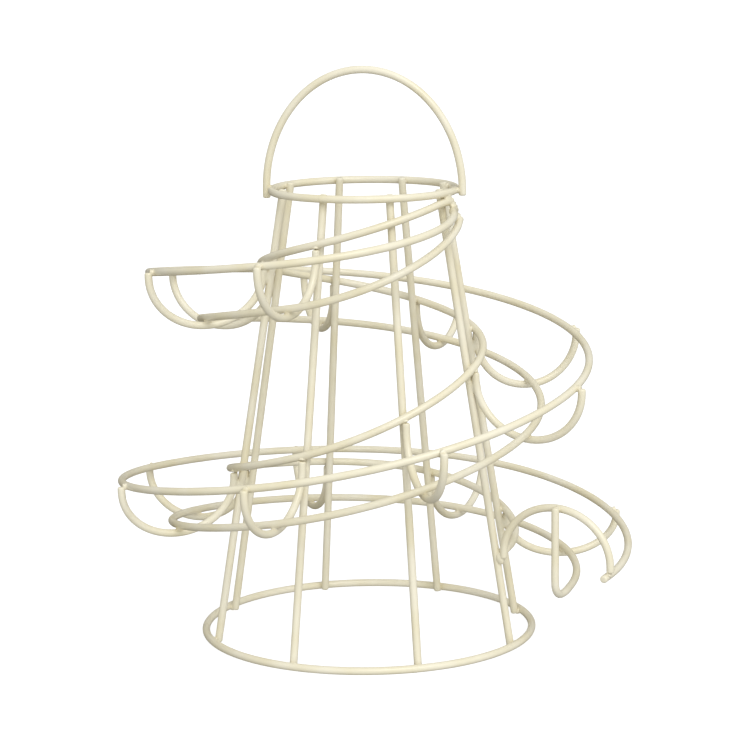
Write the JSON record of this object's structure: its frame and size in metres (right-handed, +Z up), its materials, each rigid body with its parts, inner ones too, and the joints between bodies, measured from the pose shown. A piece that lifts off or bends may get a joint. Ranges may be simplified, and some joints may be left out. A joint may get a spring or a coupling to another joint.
{
  "type": "egg holder tray",
  "caption": "Spiral wire egg rack: a cone of uprights between two rings carries a sloping channel of rails and cradle hoops round it, with an end stop and a top handle.",
  "frame": {"origin": "centre of the footprint of the whole rack, rails included, at the underside of the base ring", "axes": "+Z up along the stand's axis, +X to the right, 12 degrees from the right-hand leg of the handle, -Y towards the front"},
  "size_m": [0.2201, 0.2137, 0.2427],
  "materials": {
    "stand": "satin cream powder coat over steel wire",
    "handle": "satin cream powder coat over steel wire",
    "rails": "satin cream powder coat over steel wire",
    "cradles": "satin cream powder coat over steel wire"
  },
  "bodies": {
    "root": {"base_ring": "stand", "top_ring": "stand", "handle": "handle", "upright_1": "stand", "upright_2": "stand", "upright_3": "stand", "upright_4": "stand", "upright_5": "stand", "upright_6": "stand", "upright_7": "stand", "upright_8": "stand", "inner_rail": "rails", "outer_rail": "rails", "bottom_rail": "rails", "cradle_hoop_01": "cradles", "cradle_hoop_02": "cradles", "cradle_hoop_03": "cradles", "cradle_hoop_04": "cradles", "cradle_hoop_05": "cradles", "cradle_hoop_06": "cradles", "cradle_hoop_07": "cradles", "cradle_hoop_08": "cradles", "cradle_hoop_09": "cradles", "cradle_hoop_10": "cradles", "cradle_hoop_11": "cradles", "cradle_hoop_12": "cradles", "cradle_hoop_13": "cradles", "cradle_hoop_14": "cradles", "end_arch": "cradles"}
  },
  "joints": []
}
